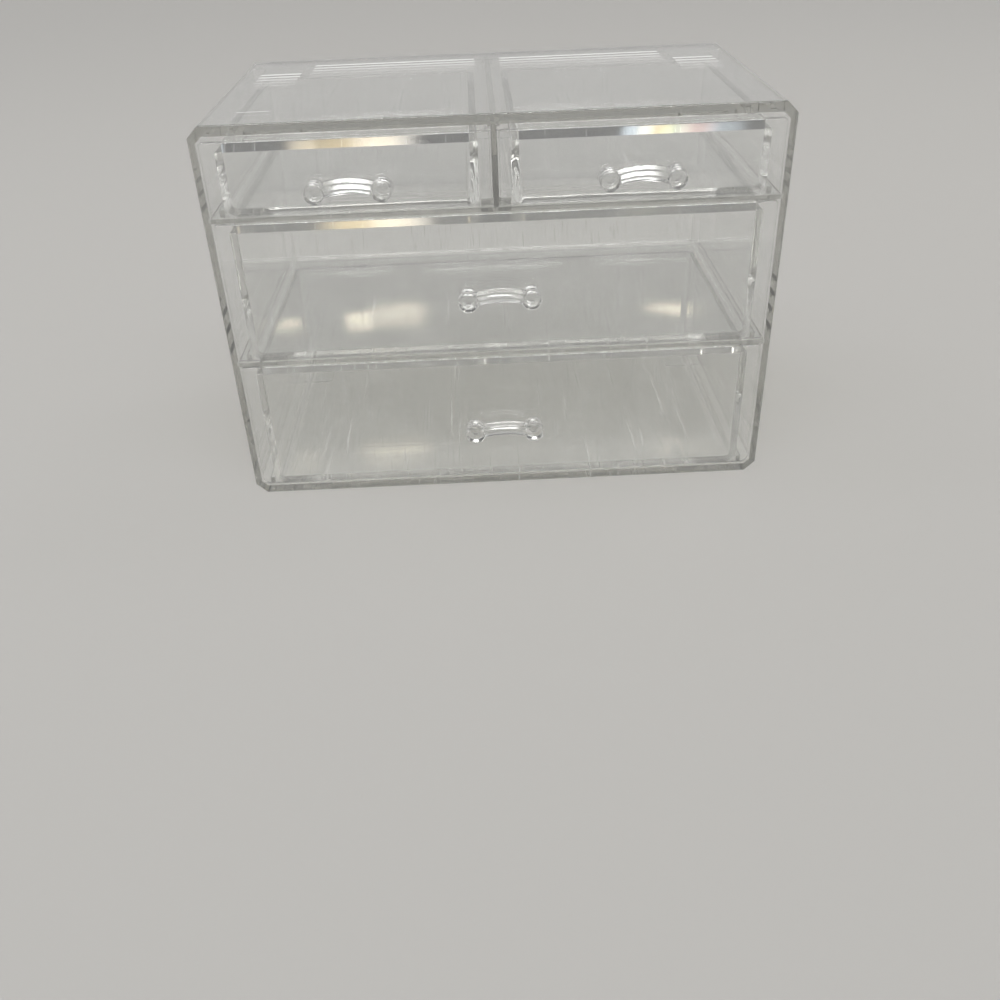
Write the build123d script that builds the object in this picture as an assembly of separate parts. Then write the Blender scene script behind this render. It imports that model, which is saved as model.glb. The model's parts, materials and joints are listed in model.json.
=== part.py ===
from build123d import *
from math import sqrt
import os

# A clear moulded chest of drawers for cosmetics. All lengths are in millimetres.
# Origin: centre of the underside. +X to the right, +Y to the back, +Z up.

# Case sleeve
case_width = 240.0
case_depth = 133.0
side_wall = 3.0
top_wall = 4.1
bottom_wall = 4.0
outer_chamfer = 4.8         # on the four edges that run front to back
inner_chamfer = 2.6
rim_round = 0.6             # rounding of the sleeve's front and rear rims

# Bays, from the bottom up: two full-width bays, then one that the divider halves
large_bay_height = 62.7
small_bay_height = 32.6
shelf_thickness = 1.8
divider_thickness = 2.4
seat_gap = 0.12             # between pieces that are seated in each other

# Grooves in the side walls that carry the shelves
groove_depth = 1.0
groove_stop = 2.5           # wall left uncut behind the front rim

# Rear cover, with a flange that lies in a rebate above and below
back_wall = 2.6
flange_thickness = 1.2
flange_side_gap = 3.0       # from the sleeve's inside to the flange's end
tongue_side_gap = 10.0      # from the sleeve's inside to a tongue
tongue_radius = 2.5
top_flange_depth = 15.5
top_tongue_depth = 35.0
top_tongue_width = 19.5
base_flange_depth = 12.0
base_tongue_depth = 27.0
base_tongue_width = 12.0
socket_depth = 12.0         # of the pair of ribs that hold the divider's rear edge
socket_rib = 1.2
socket_margin = 3.5         # left free above and below the pair

# Drawer fronts
front_thickness = 3.0
front_side_gap = 0.6
front_base_gap = 0.5
large_top_gap = 0.8
small_top_gap = 2.6
corner_clearance = 0.4      # from a front's rounded corner to the case's inner chamfer
plain_corner_radius = 1.2
front_edge_round = 0.5
front_setback = 0.3         # from the case's front rim
wedge_height = 4.2          # of the sloped wedge behind a front's top edge
wedge_depth = 6.8

# Drawer trays
tray_rear_gap = 3.6         # from a closed tray to the rear cover
tray_wall = 3.2
tray_back = 2.6
tray_floor = 3.0
tray_floor_gap = 0.4
tray_corner_radius = 2.4    # inside, between the walls
tray_floor_radius = 2.3     # inside, between the walls and the floor
tray_rim_round = 0.4
wall_drop = 4.0             # from a front's top edge down to the walls' rim
side_lane = 6.2             # between a tray and the case wall
centre_lane = 5.4           # between a small tray and the divider
joint_gap = 0.1             # between a tray's front ends and its front plate

# Guide ribs on the case floor and on both shelves
guide_width = 2.0
guide_height = 3.0
guide_gap = 0.4
guide_front_gap = 0.3       # behind a closed drawer's front plate
guide_rear_gap = 4.0

# Ribs under the top panel that hold the divider's upper edge
top_rib_width = 1.2
top_rib_height = 1.5

# Handles: two knobs and a bowed bar, with pegs through the front plate
knob_radius = 4.4
knob_length = 7.8
knob_bevel = 0.6            # round the knob's face
knob_neck_radius = 3.7
knob_neck_from = 1.6        # the neck's front side rises at 45 degrees, its other side to neck_to
knob_neck_to = 3.8
knob_spacing = 27.0
peg_radius = 2.0
peg_clearance = 0.1
peg_recess = 0.2
bar_height = 5.7
bar_depth = 4.2
bar_bevel = 1.15            # of each of the two bevels along the bar's upper front edge
bar_step = 0.8              # upright step between the two bevels
bar_small_bevel = 0.8       # on its other edges
bar_stand = 4.4             # from the front plate to the bar's centre line at the knobs
bar_lift = -0.4             # of the bar's ends above the knobs' centres
bar_rise = 3.3
bar_reach = 2.2
handle_drop = 5.0           # below the middle of the front

# Places that follow from the sizes above
front_y = -case_depth / 2
rear_y = case_depth / 2
inner_x = case_width / 2 - side_wall
flange_x = inner_x - flange_side_gap
tongue_x = inner_x - tongue_side_gap
lower_shelf_top = bottom_wall + large_bay_height + shelf_thickness
upper_shelf_top = lower_shelf_top + large_bay_height + shelf_thickness
ceiling = upper_shelf_top + small_bay_height
case_height = ceiling + top_wall
cover_y = rear_y - back_wall
plate_back_y = front_y + front_setback + front_thickness
guide_front_y = plate_back_y + guide_front_gap
guide_rear_y = cover_y - guide_rear_gap
socket_y = cover_y - socket_depth
divider_x = divider_thickness / 2
tray_x = inner_x - side_lane
centre_tray_x = divider_x + centre_lane
tray_front_y = plate_back_y + joint_gap
tray_rear_y = cover_y - tray_rear_gap
corner_cut = inner_chamfer + sqrt(2) * corner_clearance


def block(x0, x1, y0, y1, z0, z1):
    """A rectangular block between two opposite corners."""
    centre = Pos((x0 + x1) / 2, (y0 + y1) / 2, (z0 + z1) / 2)
    return centre * Box(abs(x1 - x0), abs(y1 - y0), abs(z1 - z0))


def mirrored_pair(make, inner, outer):
    """The same strip on the left and on the right of the middle plane."""
    return make(-outer, -inner) + make(inner, outer)


def bored_profile(half_width, z0, z1, y0, y1, chamfer_length):
    """A block whose four edges along Y are cut off at 45 degrees."""
    solid = block(-half_width, half_width, y0, y1, z0, z1)
    return chamfer(solid.edges().filter_by(Axis.Y), chamfer_length)


def flange(depth, tongue_depth, tongue_width, z0, z1, gap):
    """A flat strip along the rear edge with a longer tongue near each end."""
    half = flange_x + gap
    strip = block(-half, half, rear_y - depth - gap, rear_y, z0, z1)
    strip += mirrored_pair(
        lambda x0, x1: block(x0, x1, rear_y - tongue_depth - gap, rear_y, z0, z1),
        tongue_x - tongue_width - gap,
        tongue_x + gap,
    )
    corners = strip.edges().filter_by(Axis.Z).filter_by_position(
        Axis.Y, rear_y - tongue_depth - 2 * gap, rear_y - depth + gap
    )
    return fillet(corners, tongue_radius)


def make_case_shell():
    shell = bored_profile(case_width / 2, 0, case_height, front_y, rear_y, outer_chamfer)
    rims = shell.edges().filter_by(Axis.Y, reverse=True)
    shell = fillet(rims, rim_round)
    shell -= bored_profile(inner_x, bottom_wall, ceiling, front_y, rear_y, inner_chamfer)

    for shelf_top in (lower_shelf_top, upper_shelf_top):
        groove_low = shelf_top - shelf_thickness - seat_gap
        shell -= mirrored_pair(
            lambda x0, x1: block(x0, x1, front_y + groove_stop, rear_y, groove_low, shelf_top + seat_gap),
            inner_x - seat_gap,
            inner_x + groove_depth,
        )

    rebate = flange_thickness + seat_gap
    shell -= flange(
        top_flange_depth, top_tongue_depth, top_tongue_width, ceiling - seat_gap, ceiling + rebate, seat_gap
    )
    shell -= flange(
        base_flange_depth, base_tongue_depth, base_tongue_width,
        bottom_wall - rebate, bottom_wall + seat_gap, seat_gap,
    )

    shell += side_guides(bottom_wall, rear_y - base_tongue_depth - 2 * seat_gap)
    shell += mirrored_pair(
        lambda x0, x1: block(x0, x1, guide_front_y, socket_y - seat_gap, ceiling - top_rib_height, ceiling),
        divider_x + seat_gap,
        divider_x + seat_gap + top_rib_width,
    )
    return shell


def side_guides(floor_z, rear):
    """The pair of ribs that keep a drawer off the case's side walls."""
    return mirrored_pair(
        lambda x0, x1: block(x0, x1, guide_front_y, rear, floor_z, floor_z + guide_height),
        tray_x + guide_gap,
        tray_x + guide_gap + guide_width,
    )


def make_back_cover():
    cover = bored_profile(
        inner_x - seat_gap, bottom_wall + seat_gap, ceiling - seat_gap, cover_y, rear_y, inner_chamfer
    )
    cover += block(
        -flange_x, flange_x, cover_y, rear_y,
        bottom_wall - flange_thickness, ceiling + flange_thickness,
    )
    cover += flange(
        top_flange_depth, top_tongue_depth, top_tongue_width, ceiling, ceiling + flange_thickness, 0
    )
    cover += flange(
        base_flange_depth, base_tongue_depth, base_tongue_width, bottom_wall - flange_thickness, bottom_wall, 0
    )
    cover += mirrored_pair(
        lambda x0, x1: block(
            x0, x1, socket_y, cover_y, upper_shelf_top + socket_margin, ceiling - socket_margin
        ),
        divider_x + seat_gap,
        divider_x + seat_gap + socket_rib,
    )
    return cover


def make_shelf(top_z):
    low = top_z - shelf_thickness
    shelf = block(
        -inner_x + seat_gap, inner_x - seat_gap, front_y + front_setback, cover_y - seat_gap, low, top_z
    )
    seated_x = inner_x + groove_depth - seat_gap
    shelf += block(
        -seated_x, seated_x, front_y + groove_stop + seat_gap, cover_y - seat_gap, low, top_z
    )
    return shelf + side_guides(top_z, guide_rear_y)


def make_upper_shelf():
    """The upper shelf also holds the divider's lower edge between two ribs."""
    ribs = mirrored_pair(
        lambda x0, x1: block(
            x0, x1, guide_front_y, socket_y - seat_gap, upper_shelf_top, upper_shelf_top + guide_height
        ),
        divider_x + seat_gap,
        centre_tray_x - guide_gap,
    )
    return make_shelf(upper_shelf_top) + ribs


def make_divider():
    plate = block(
        -divider_x, divider_x, front_y + front_setback, cover_y - seat_gap,
        upper_shelf_top + seat_gap, ceiling - seat_gap,
    )
    front_edges = plate.edges().filter_by(Axis.Z).sort_by(Axis.Y)[:2]
    return fillet(front_edges, front_edge_round)


def safe_corner_radius(base_gap):
    """The radius at which a front's corner clears the case's inner chamfer."""
    needed = (corner_cut - front_side_gap - base_gap) / (2 - sqrt(2))
    return max(plain_corner_radius, needed)


class Drawer:
    """One drawer's place in the case: its bay and what bounds it."""

    def __init__(self, name, bay_floor, bay_height, top_gap, inner_edge, side):
        self.name = name
        self.floor = bay_floor
        self.top = bay_floor + bay_height - top_gap
        self.bottom = bay_floor + front_base_gap
        self.top_gap = top_gap
        self.side = side
        if side == 0:
            self.front_x = (-inner_x + front_side_gap, inner_x - front_side_gap)
            self.tray_x = (-tray_x, tray_x)
        else:
            ends = (side * (inner_edge + front_side_gap), side * (inner_x - front_side_gap))
            self.front_x = (min(ends), max(ends))
            walls = (side * centre_tray_x, side * tray_x)
            self.tray_x = (min(walls), max(walls))

    def handle_centre(self):
        middle = (self.front_x[0] + self.front_x[1]) / 2
        return middle, front_y + front_setback, (self.bottom + self.top) / 2 - handle_drop


def corner_radius(drawer, x, z):
    """Corners beside the case's own chamfered corners are rounder."""
    beside_wall = abs(abs(x) - (inner_x - front_side_gap)) < front_side_gap
    if beside_wall and drawer.floor == bottom_wall and z == drawer.bottom:
        return safe_corner_radius(front_base_gap)
    if beside_wall and drawer.floor == upper_shelf_top and z == drawer.top:
        return safe_corner_radius(min(drawer.top_gap, inner_chamfer))
    return plain_corner_radius


def make_wedge(drawer):
    """The sloped wedge behind a front's top edge, between the tray's walls."""
    x0 = drawer.tray_x[0] + tray_wall + joint_gap
    x1 = drawer.tray_x[1] - tray_wall - joint_gap
    outline = Polyline(
        (plate_back_y, drawer.top),
        (plate_back_y + wedge_depth, drawer.top),
        (plate_back_y, drawer.top - wedge_height),
        (plate_back_y, drawer.top),
    )
    return Pos(x0, 0, 0) * extrude(Plane.YZ * make_face(outline), x1 - x0)


def make_front(drawer):
    x0, x1 = drawer.front_x
    y0 = front_y + front_setback
    plate = block(x0, x1, y0, plate_back_y, drawer.bottom, drawer.top)
    for x in (x0, x1):
        for z in (drawer.bottom, drawer.top):
            corner = plate.edges().filter_by(Axis.Y).sort_by_distance((x, y0, z))[0]
            plate = fillet(corner, corner_radius(drawer, x, z))
    plate = fillet(plate.faces().sort_by(Axis.Y)[0].edges(), front_edge_round)

    plate += make_wedge(drawer)
    hx, hy, hz = drawer.handle_centre()
    for offset in (-knob_spacing / 2, knob_spacing / 2):
        hole = Pos(hx + offset, hy + front_thickness / 2, hz) * Rot(90, 0, 0)
        plate -= hole * Cylinder(peg_radius + peg_clearance, 2 * front_thickness)
    return plate


def rounded_tub(x0, x1, y0, y1, z0, z1, corner, floor):
    """A block rounded along its rear uprights and its underside, but not at its front end."""
    tub = block(x0, x1, y0, y1, z0, z1)
    uprights = tub.edges().filter_by(Axis.Z).sort_by(Axis.Y)[2:]
    tub = fillet(uprights, corner)
    underside = tub.faces().sort_by(Axis.Z)[0].edges()
    return fillet(underside.sort_by(Axis.Y)[1:], floor)


def make_tray(drawer):
    x0, x1 = drawer.tray_x
    z0 = drawer.floor + tray_floor_gap
    z1 = drawer.top - wall_drop
    outer = rounded_tub(
        x0, x1, tray_front_y, tray_rear_y, z0, z1,
        tray_corner_radius + tray_back, tray_floor_radius + tray_back,
    )
    hollow = rounded_tub(
        x0 + tray_wall, x1 - tray_wall, tray_front_y - tray_wall, tray_rear_y - tray_back,
        z0 + tray_floor, z1 + tray_wall, tray_corner_radius, tray_floor_radius,
    )
    tray = outer - hollow
    rim = tray.faces().sort_by(Axis.Z)[-1].edges()
    return fillet(rim, tray_rim_round)


def make_knob():
    """A turned knob along -Y, its base at y = 0, with a neck and a bevelled face."""
    neck_bottom = knob_neck_from + knob_radius - knob_neck_radius
    outline = Polyline(
        (0, 0),
        (knob_radius, 0),
        (knob_radius, knob_neck_from),
        (knob_neck_radius, neck_bottom),
        (knob_radius, knob_neck_to),
        (knob_radius, knob_length - knob_bevel),
        (knob_radius - knob_bevel, knob_length),
        (0, knob_length),
        (0, 0),
    )
    return Rot(180, 0, 0) * revolve(make_face(outline), Axis.Y, 360)


def make_bar():
    """A bowed bar with flat faces and a stepped double bevel along its upper front edge."""
    half = knob_spacing / 2
    path = ThreePointArc(
        (-half, -bar_stand, bar_lift),
        (0, -bar_stand - bar_reach, bar_lift + bar_rise),
        (half, -bar_stand, bar_lift),
    )
    y, z = bar_depth / 2, bar_height / 2
    step_y = -y + bar_bevel
    step_z = z - bar_bevel - bar_step
    outline = Polyline(
        (-y, step_z - bar_bevel), (step_y, step_z),
        (step_y, step_z + bar_step), (step_y + bar_bevel, z),
        (y - bar_small_bevel, z), (y, z - bar_small_bevel),
        (y, -z + bar_small_bevel), (y - bar_small_bevel, -z),
        (-y + bar_small_bevel, -z), (-y, -z + bar_small_bevel),
        (-y, step_z - bar_bevel),
    )
    section = make_face(outline)
    return sweep(Plane(origin=path @ 0, z_dir=path % 0, x_dir=(0, 1, 0)) * section, path)


def make_handle(drawer):
    hx, hy, hz = drawer.handle_centre()
    handle = make_bar()
    peg_length = front_thickness - peg_recess
    for offset in (-knob_spacing / 2, knob_spacing / 2):
        handle += Pos(offset, 0, 0) * make_knob()
        handle += Pos(offset, peg_length / 2, 0) * Rot(90, 0, 0) * Cylinder(peg_radius, peg_length)
    return Pos(hx, hy - seat_gap / 2, hz) * handle


drawers = [
    Drawer("small_left", upper_shelf_top, small_bay_height, small_top_gap, divider_x, -1),
    Drawer("small_right", upper_shelf_top, small_bay_height, small_top_gap, divider_x, 1),
    Drawer("upper_large", lower_shelf_top, large_bay_height, large_top_gap, 0, 0),
    Drawer("lower_large", bottom_wall, large_bay_height, large_top_gap, 0, 0),
]

nodes = {
    "case_shell": make_case_shell(),
    "back_cover": make_back_cover(),
    "lower_shelf": make_shelf(lower_shelf_top),
    "upper_shelf": make_upper_shelf(),
    "centre_divider": make_divider(),
}
for drawer in drawers:
    nodes[drawer.name + "_tray"] = make_tray(drawer)
    nodes[drawer.name + "_front"] = make_front(drawer)
    nodes[drawer.name + "_handle"] = make_handle(drawer)

os.makedirs("parts", exist_ok=True)
for name, shape in nodes.items():
    export_step(shape, "parts/" + name + ".step")
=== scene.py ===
import json
from math import cos, radians, sin

import bpy
from mathutils import Matrix, Vector


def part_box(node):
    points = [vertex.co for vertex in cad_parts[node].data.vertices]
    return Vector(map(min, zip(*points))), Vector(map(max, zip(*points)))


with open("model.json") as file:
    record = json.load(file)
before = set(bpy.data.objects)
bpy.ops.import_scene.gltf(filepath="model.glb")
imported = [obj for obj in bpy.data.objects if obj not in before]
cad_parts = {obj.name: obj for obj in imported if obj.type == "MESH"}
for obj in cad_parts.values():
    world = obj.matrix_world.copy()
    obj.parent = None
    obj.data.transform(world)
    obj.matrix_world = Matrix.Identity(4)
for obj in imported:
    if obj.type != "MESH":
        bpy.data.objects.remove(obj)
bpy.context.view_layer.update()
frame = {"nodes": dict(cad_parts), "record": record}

# Lengths and places are in metres and angles in degrees, unless a line says otherwise.
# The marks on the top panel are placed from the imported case.
case_low, case_high = (Vector(corner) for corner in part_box("case_shell"))

# Camera, fitted to the corners of the case in the photograph
CAMERA_PLACE = Vector((-0.00755, -0.46903, 0.25759))
CAMERA_YAW = radians(-0.578)
CAMERA_PITCH = radians(-33.684)
CAMERA_ROLL = radians(-2.360)
CAMERA_LENS_MM = 35.58
SENSOR_MM = 36.0
CAMERA_CLIP_START = 0.01

# Floor
FLOOR_COLOUR = (0.425, 0.417, 0.403, 1.0)
FLOOR_SIZE = 6.0
FLOOR_BELOW = 0.0002
FLOOR_ROUGHNESS = 0.7
FLOOR_SPECULAR = 0.2

# Two lamps aimed at the middle of the chest: name, place, power in watts and colour
LAMP_AIM = (0, 0, 0.08)
LAMP_SIZE = 0.3
LAMPS = [
    ("left_lamp", (-0.9, 0.1, 1.3), 3.0, (1, 1, 1)),
    ("right_lamp", (0.8, 0.4, 1.4), 3.0, (1.0, 0.96, 0.9)),
]

# The room around the chest: colours, and where one passes into the next, as the Y or Z of a
# direction one unit long
ROOM_LOW_SIDE = (0.33, 0.33, 0.335)
ROOM_LOW_REAR = (0.46, 0.455, 0.445)
ROOM_MIDDLE = (0.105, 0.105, 0.11)
ROOM_ZENITH = (0.80, 0.80, 0.81)
SIDE_TO_REAR_Y = (0.2, 0.9)
LOW_TO_MIDDLE_Z = (0.18, 0.34)
MIDDLE_TO_ZENITH_Z = (0.965, 0.995)

# Soft glows in the room: colour, azimuth from +Y towards +X, elevation, two half-widths (across
# and upward) and strength
WARM_GLOW = (1.0, 0.88, 0.66)
GOLD_GLOW = (1.0, 0.78, 0.40)
PINK_GLOW = (1.0, 0.72, 0.66)
GREEN_GLOW = (0.72, 1.0, 0.74)
COOL_GLOW = (0.80, 0.92, 1.0)
LAMP_GLOW = (1.0, 1.0, 0.99)
FLOOR_GLOWS = [             # lie in the drawers' floors
    (WARM_GLOW, -7.6, 22.9, 0.8, 0.45, 2.2),
    (WARM_GLOW, -5.2, 22.7, 1.5, 0.55, 1.8),
    (WARM_GLOW, -6.2, 30.5, 1.8, 0.55, 1.6),
    (WARM_GLOW, 11.6, 22.7, 1.5, 0.35, 2.0),
    (WARM_GLOW, 12.6, 30.5, 1.2, 0.5, 1.0),
]
WEDGE_GLOWS = [             # show in the wedges behind the fronts' top edges
    (GOLD_GLOW, -13.5, 63.0, 2.6, 4.0, 1.3),
    (LAMP_GLOW, -10.0, 63.0, 1.6, 4.0, 1.0),
    (WARM_GLOW, -18.5, 60.5, 0.7, 2.0, 1.0),
    (COOL_GLOW, 17.6, 59.5, 0.8, 2.2, 1.0),
    (GOLD_GLOW, 19.4, 59.5, 0.8, 2.2, 1.1),
    (GREEN_GLOW, 21.0, 59.5, 0.7, 2.2, 0.8),
    (PINK_GLOW, 22.8, 59.0, 0.9, 2.2, 1.0),
    (COOL_GLOW, 25.4, 58.5, 0.9, 2.2, 0.7),
]
LAMP_GLOWS = [              # long lamps overhead, seen in the handles
    (LAMP_GLOW, 180.0, 65.5, 33.0, 3.3, 18.0),
    (LAMP_GLOW, 180.0, 74.5, 28.0, 2.2, 11.0),
    (LAMP_GLOW, 180.0, 55.5, 22.0, 1.8, 11.0),
]
ROOM_GLOWS = FLOOR_GLOWS + WEDGE_GLOWS + LAMP_GLOWS
ACROSS_POWER = 4            # a firm end
UPWARD_POWER = 2            # a soft edge

# How light passes through the plastic; absorption is per metre
ABSORPTION_COLOUR = (0.40, 0.40, 0.34, 1.0)
CASE_ABSORPTION = 6.5
DRAWER_ABSORPTION = 3.0
SURFACE_PASS = (0.975, 0.975, 0.97, 1.0)
CASE_TINT = (0.985, 0.987, 0.983, 1.0)
HANDLE_TINT = (0.99, 0.992, 0.988, 1.0)
PLASTIC_IOR = 1.58
MOST_BOUNCES = 64           # light runs through the plates' edges by many inner reflections

# The share of light that clean plastic lets through, and what haze and marks take from it by
# scattering light instead
BASE_CLEARNESS = 0.99
SMUDGE_HAZE = 0.045
MARK_HAZE = 0.12
PLATE_MILK = 1.0            # how much of the two each kind of piece shows
HANDLE_MILK = 0.25

# Smudges: the most roughness that they give, and the two values of their noise between which it
# comes in
PLATE_ROUGHNESS = 0.05
HANDLE_ROUGHNESS = 0.02
SMUDGE_SCALE = 38.0
SMUDGE_DETAIL = 5.0
SMUDGE_FROM = 0.45
SMUDGE_TO = 0.75

# The moulded surface isn't quite flat
WAVE_SCALE = 22.0
WAVE_DETAIL = 1.0
WAVE_STRENGTH = 0.03
WAVE_HEIGHT = 0.002

# Fine scratches in two directions (turns in radians), from a noise that is much finer along one
# axis than along the others
STREAK_SCALES = (1400.0, 18.0, 60.0)
STREAK_TURNS = ((0.0, 0.0, 0.5), (0.3, 0.9, 1.9))
STREAK_FROM = 0.78
STREAK_TO = 0.82

# Dust: one speck in each cell of a pattern, full up to one edge and gone at the other
DUST_SCALE = 260.0
SPECK_INNER = 0.05
SPECK_OUTER = 0.09

# Marks on the top panel. The lines are painted reflections: frosted stripes that stand in for
# the reflected front edge of the rear cover's upper flange, once for the tongues near the
# corners and once for the flange between them. The long scratch is a real mark.
LINE_SPACING = 0.0062
LINE_COUNT = 6
LINE_SHARE = 0.26           # share of the spacing that a line reaches to either side
PAINTED_REFLECTION_FROST = 0.9            # about what the rearmost painted reflection line takes from the clearness
TONGUE_DEPTH = 0.035
TONGUE_INNER_X = 0.0875
TONGUE_OUTER_X = 0.1065
FLANGE_DEPTH = 0.0165
FLANGE_INNER_X = 0.006
FLANGE_OUTER_X = 0.083
SCRATCH_FROM_SIDE = 0.0166
SCRATCH_FROM_FRONT = 0.0205
SCRATCH_LENGTH = 0.0130
SCRATCH_WIDTH = 0.0006
TOP_SKIN = 0.001            # the marks lie no deeper than this below the top


def make_camera():
    data = bpy.data.cameras.new("camera")
    data.sensor_width = SENSOR_MM
    data.lens = CAMERA_LENS_MM
    data.clip_start = CAMERA_CLIP_START
    camera = bpy.data.objects.new("camera", data)
    turn = (
        Matrix.Rotation(CAMERA_YAW, 4, "Z")
        @ Matrix.Rotation(radians(90) + CAMERA_PITCH, 4, "X")
        @ Matrix.Rotation(CAMERA_ROLL, 4, "Z")
    )
    camera.matrix_world = Matrix.Translation(CAMERA_PLACE) @ turn
    bpy.context.scene.collection.objects.link(camera)
    bpy.context.scene.camera = camera


class Nodes:
    """A short way to add and join shader nodes."""

    def __init__(self, tree):
        self.tree = tree
        tree.nodes.clear()

    def add(self, kind, **settings):
        node = self.tree.nodes.new(kind)
        for key, value in settings.items():
            setattr(node, key, value)
        return node

    def link(self, source, target):
        self.tree.links.new(source, target)

    def math(self, operation, first, second=0.0):
        """One step of arithmetic on two values, each a constant or a socket."""
        node = self.add("ShaderNodeMath", operation=operation)
        for socket, value in zip(node.inputs, (first, second)):
            if isinstance(value, (int, float)):
                socket.default_value = value
            else:
                self.link(value, socket)
        return node.outputs[0]

    def dot(self, source, axis):
        """How far a vector reaches along a fixed axis."""
        node = self.add("ShaderNodeVectorMath", operation="DOT_PRODUCT")
        self.link(source, node.inputs[0])
        node.inputs[1].default_value = axis
        return node.outputs["Value"]

    def axes(self, source):
        """The X, Y and Z of a vector."""
        node = self.add("ShaderNodeSeparateXYZ")
        self.link(source, node.inputs["Vector"])
        return tuple(node.outputs)

    def noise(self, place, scale, detail):
        """Cloudy noise, about 0 to 1."""
        node = self.add("ShaderNodeTexNoise")
        node.inputs["Scale"].default_value = scale
        node.inputs["Detail"].default_value = detail
        self.link(place, node.inputs["Vector"])
        return node.outputs["Fac"]

    def fade(self, source, start, end, low=0.0, high=1.0, curve="SMOOTHSTEP"):
        """From low to high as the source goes from start to end."""
        node = self.add("ShaderNodeMapRange", interpolation_type=curve)
        self.link(source, node.inputs["Value"])
        node.inputs["From Min"].default_value = start
        node.inputs["From Max"].default_value = end
        node.inputs["To Min"].default_value = low
        node.inputs["To Max"].default_value = high
        return node.outputs["Result"]

    def mix(self, factor, first, second, **settings):
        """A colour from two, each a constant or a socket."""
        node = self.add("ShaderNodeMix", data_type="RGBA", **settings)
        factor_socket, first_socket, second_socket, result = (
            node.inputs[0], node.inputs[6], node.inputs[7], node.outputs[2],
        )
        self.link(factor, factor_socket)
        for socket, value in ((first_socket, first), (second_socket, second)):
            if isinstance(value, tuple):
                socket.default_value = (*value, 1.0)
            else:
                self.link(value, socket)
        return result


def scratches(n, place, turn):
    """Fine straight scratches in one direction, from 0 (none) to 1."""
    turned = n.add("ShaderNodeMapping")
    turned.inputs["Rotation"].default_value = turn
    turned.inputs["Scale"].default_value = STREAK_SCALES
    n.link(place, turned.inputs["Vector"])
    streak = n.noise(turned.outputs["Vector"], scale=1.0, detail=0.0)
    return n.fade(streak, STREAK_FROM, STREAK_TO)


def dust(n, place):
    """Small specks, from 0 (none) to 1."""
    cells = n.add("ShaderNodeTexVoronoi")
    cells.inputs["Scale"].default_value = DUST_SCALE
    n.link(place, cells.inputs["Vector"])
    return n.fade(cells.outputs["Distance"], SPECK_INNER, SPECK_OUTER, low=1.0, high=0.0)


def inside_box(n, sockets, box_low, box_high):
    """1 inside a box and 0 outside, for the axes where the box has limits."""
    mask = 1.0
    for socket, least, most in zip(sockets, box_low, box_high):
        if least is not None:
            mask = n.math("MULTIPLY", mask, n.math("GREATER_THAN", socket, least))
        if most is not None:
            mask = n.math("MULTIPLY", mask, n.math("LESS_THAN", socket, most))
    return mask


def painted_reflection_lines(n, axes, inner_x, outer_x, first_y):
    """Painted reflections: parallel frosted lines near the top panel's rear edge that stand in
    for the reflected flange edge, each fainter than the one behind it.
    """
    x, y, z = axes
    last_y = first_y - LINE_COUNT * LINE_SPACING
    steps = n.math("DIVIDE", n.math("SUBTRACT", first_y, y), LINE_SPACING)
    off_line = n.math("PINGPONG", steps, 0.5)
    pulse = n.fade(off_line, LINE_SHARE / 2, LINE_SHARE, low=1.0, high=0.0)
    strength = n.fade(y, last_y, first_y + LINE_SPACING)
    area = inside_box(
        n,
        (n.math("ABSOLUTE", x), y, z),
        (inner_x, last_y, case_high.z - TOP_SKIN),
        (outer_x, first_y + LINE_SPACING / 2, None),
    )
    return n.math("MULTIPLY", n.math("MULTIPLY", pulse, strength), area)


def top_scratch(n, axes):
    """One long scratch near the top panel's left front corner."""
    x = case_low.x + SCRATCH_FROM_SIDE
    y = case_low.y + SCRATCH_FROM_FRONT
    return inside_box(
        n,
        axes,
        (x, y, case_high.z - TOP_SKIN),
        (x + SCRATCH_LENGTH, y + SCRATCH_WIDTH, None),
    )


def surface_milk(n, place, smudge, milkiness):
    """The share that smudges, fine scratches and dust take from the clearness."""
    first_turn, second_turn = STREAK_TURNS
    marks = n.math("ADD", scratches(n, place, first_turn), scratches(n, place, second_turn))
    marks = n.math("MULTIPLY", n.math("ADD", marks, dust(n, place)), MARK_HAZE)
    milk = n.math("ADD", n.math("MULTIPLY", smudge, SMUDGE_HAZE), marks)
    return n.math("MULTIPLY", milk, milkiness)


def top_panel_marks_with_reflections(n, place):
    """The share that the top panel's painted reflection lines and its long real scratch take
    from the clearness.
    """
    axes = n.axes(place)
    lines = n.math(
        "ADD",
        painted_reflection_lines(n, axes, TONGUE_INNER_X, TONGUE_OUTER_X, case_high.y - TONGUE_DEPTH),
        painted_reflection_lines(n, axes, FLANGE_INNER_X, FLANGE_OUTER_X, case_high.y - FLANGE_DEPTH),
    )
    return n.math("ADD", n.math("MULTIPLY", lines, PAINTED_REFLECTION_FROST), top_scratch(n, axes))


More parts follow.
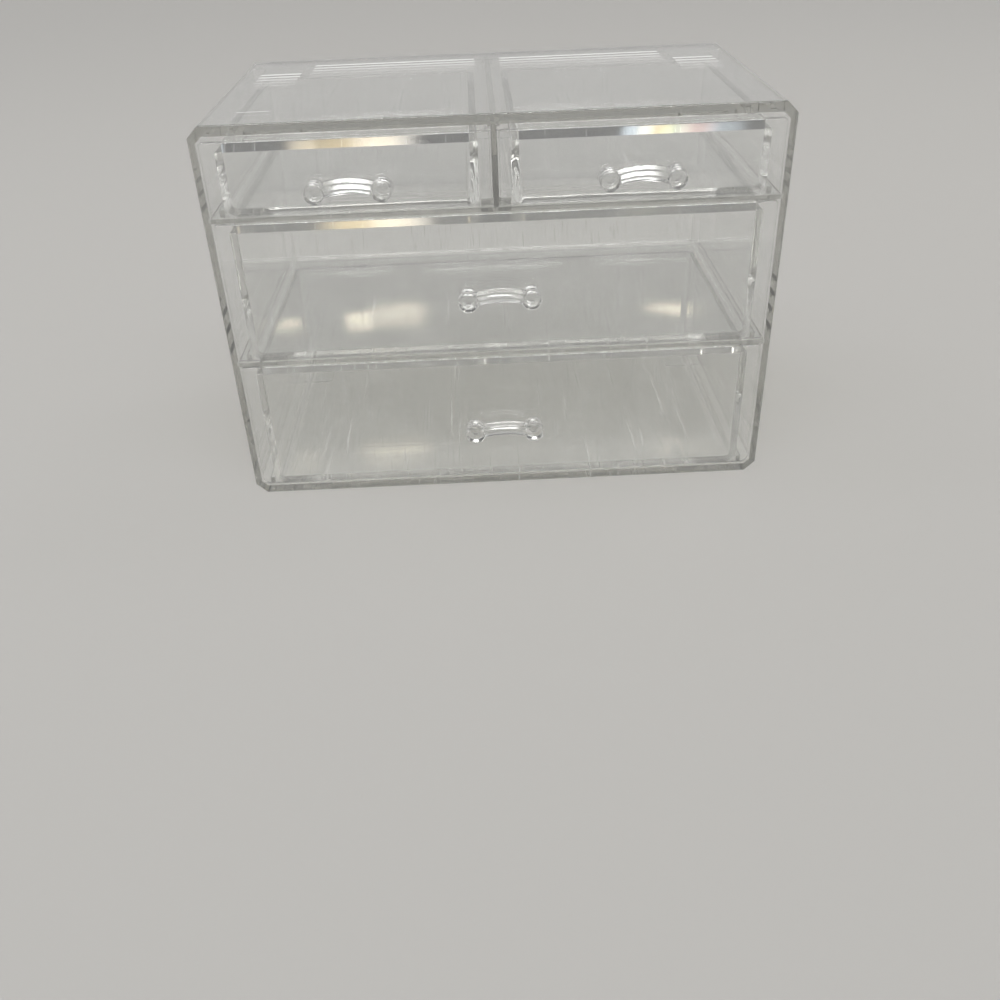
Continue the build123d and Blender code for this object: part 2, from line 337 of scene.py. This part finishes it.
def clear_plastic(name, tint, most_roughness, milkiness, absorption):
    material = bpy.data.materials.new(name)
    material.use_nodes = True
    n = Nodes(material.node_tree)
    place = n.add("ShaderNodeTexCoord").outputs["Object"]

    smudge = n.noise(place, SMUDGE_SCALE, SMUDGE_DETAIL)
    roughness = n.fade(smudge, SMUDGE_FROM, SMUDGE_TO, high=most_roughness, curve="LINEAR")
    bump = n.add("ShaderNodeBump")
    bump.inputs["Strength"].default_value = WAVE_STRENGTH
    bump.inputs["Distance"].default_value = WAVE_HEIGHT
    n.link(n.noise(place, WAVE_SCALE, WAVE_DETAIL), bump.inputs["Height"])

    milk = surface_milk(n, place, smudge, milkiness)
    # Painted reflections: frosted lines on the top panel stand in for reflections of the rear
    # cover's flange, and the long scratch is a real mark
    painted_reflections_and_scratch = top_panel_marks_with_reflections(n, place)
    clearness = n.math("SUBTRACT", n.math("SUBTRACT", BASE_CLEARNESS, milk), painted_reflections_and_scratch)

    glass = n.add("ShaderNodeBsdfPrincipled")
    glass.inputs["Base Color"].default_value = tint
    n.link(clearness, glass.inputs["Transmission Weight"])
    glass.inputs["IOR"].default_value = PLASTIC_IOR
    n.link(roughness, glass.inputs["Roughness"])
    n.link(bump.outputs["Normal"], glass.inputs["Normal"])

    # Lamps reach what lies behind the plastic, a little dimmed
    passing = n.add("ShaderNodeBsdfTransparent")
    passing.inputs["Color"].default_value = SURFACE_PASS
    path = n.add("ShaderNodeLightPath").outputs
    lamps_only = n.math("MAXIMUM", path["Is Shadow Ray"], path["Is Diffuse Ray"])
    mix = n.add("ShaderNodeMixShader")
    n.link(lamps_only, mix.inputs["Fac"])
    n.link(glass.outputs["BSDF"], mix.inputs[1])
    n.link(passing.outputs["BSDF"], mix.inputs[2])

    # Long ways through the plastic, as along a plate's edge, come out greyer
    thickness = n.add("ShaderNodeVolumeAbsorption")
    thickness.inputs["Color"].default_value = ABSORPTION_COLOUR
    thickness.inputs["Density"].default_value = absorption

    output = n.add("ShaderNodeOutputMaterial")
    n.link(mix.outputs["Shader"], output.inputs["Surface"])
    n.link(thickness.outputs["Volume"], output.inputs["Volume"])
    return material


def dress_nodes():
    looks = {
        "clear_case": (CASE_TINT, PLATE_ROUGHNESS, PLATE_MILK, CASE_ABSORPTION),
        "clear_drawer": (CASE_TINT, PLATE_ROUGHNESS, PLATE_MILK, DRAWER_ABSORPTION),
        "clear_handle": (HANDLE_TINT, HANDLE_ROUGHNESS, HANDLE_MILK, DRAWER_ABSORPTION),
    }
    materials = {name: clear_plastic(name, *look) for name, look in looks.items()}
    slots = {part["node"]: part["material_slot"] for part in frame["record"]["subparts"]}
    for node, slot_name in slots.items():
        obj = frame["nodes"][node]
        obj.data.materials.clear()
        obj.data.materials.append(materials[slot_name])


def make_floor():
    bpy.ops.mesh.primitive_plane_add(size=FLOOR_SIZE, location=(0, 0, -FLOOR_BELOW))
    floor = bpy.context.object
    floor.name = "floor"
    material = bpy.data.materials.new("floor_paint")
    material.use_nodes = True
    shader = material.node_tree.nodes["Principled BSDF"]
    shader.inputs["Base Color"].default_value = FLOOR_COLOUR
    shader.inputs["Roughness"].default_value = FLOOR_ROUGHNESS
    shader.inputs["Specular IOR Level"].default_value = FLOOR_SPECULAR
    floor.data.materials.append(material)


def make_lamps():
    for name, place, power, colour in LAMPS:
        data = bpy.data.lights.new(name, "AREA")
        data.shape = "RECTANGLE"
        data.size = LAMP_SIZE
        data.size_y = LAMP_SIZE
        data.energy = power
        data.color = colour
        lamp = bpy.data.objects.new(name, data)
        lamp.location = place
        aim = Vector(LAMP_AIM) - Vector(place)
        lamp.rotation_euler = aim.to_track_quat("-Z", "Y").to_euler()
        bpy.context.scene.collection.objects.link(lamp)


def room_glow(n, direction, azimuth, elevation, half_width, half_height, strength):
    """A soft glow in one direction of the room, with firmer ends than upper and lower edges."""
    az = radians(azimuth)
    el = radians(elevation)
    centre = Vector((sin(az) * cos(el), cos(az) * cos(el), sin(el)))
    across = Vector((cos(az), -sin(az), 0.0))
    upward = across.cross(centre)
    sides = ((across, half_width, ACROSS_POWER), (upward, half_height, UPWARD_POWER))
    terms = []
    for axis, half, power in sides:
        along = n.math("ABSOLUTE", n.dot(direction, axis))
        terms.append(n.math("POWER", n.math("DIVIDE", along, radians(half)), power))
    fade = n.math("EXPONENT", n.math("MULTIPLY", n.math("ADD", *terms), -1))
    ahead = n.math("GREATER_THAN", n.dot(direction, centre), 0)
    return n.math("MULTIPLY", n.math("MULTIPLY", fade, ahead), strength)


def make_world():
    world = bpy.data.worlds.new("studio")
    world.use_nodes = True
    bpy.context.scene.world = world
    n = Nodes(world.node_tree)
    direction = n.add("ShaderNodeTexCoord").outputs["Generated"]
    rearward, upward = n.axes(direction)[1:]

    low = n.mix(n.fade(rearward, *SIDE_TO_REAR_Y), ROOM_LOW_SIDE, ROOM_LOW_REAR)
    middle = n.mix(n.fade(upward, *LOW_TO_MIDDLE_Z), low, ROOM_MIDDLE)
    room = n.mix(n.fade(upward, *MIDDLE_TO_ZENITH_Z), middle, ROOM_ZENITH)
    for tone, *shape in ROOM_GLOWS:
        glow = room_glow(n, direction, *shape)
        room = n.mix(glow, room, tone, blend_type="ADD", clamp_factor=False)

    background = n.add("ShaderNodeBackground")
    n.link(room, background.inputs["Color"])
    output = n.add("ShaderNodeOutputWorld")
    n.link(background.outputs["Background"], output.inputs["Surface"])


def set_view():
    scene = bpy.context.scene
    scene.view_settings.view_transform = "Standard"
    scene.cycles.max_bounces = MOST_BOUNCES
    scene.cycles.transmission_bounces = MOST_BOUNCES
    scene.cycles.glossy_bounces = MOST_BOUNCES
    scene.cycles.transparent_max_bounces = MOST_BOUNCES


make_camera()
dress_nodes()
make_floor()
make_lamps()
make_world()
set_view()
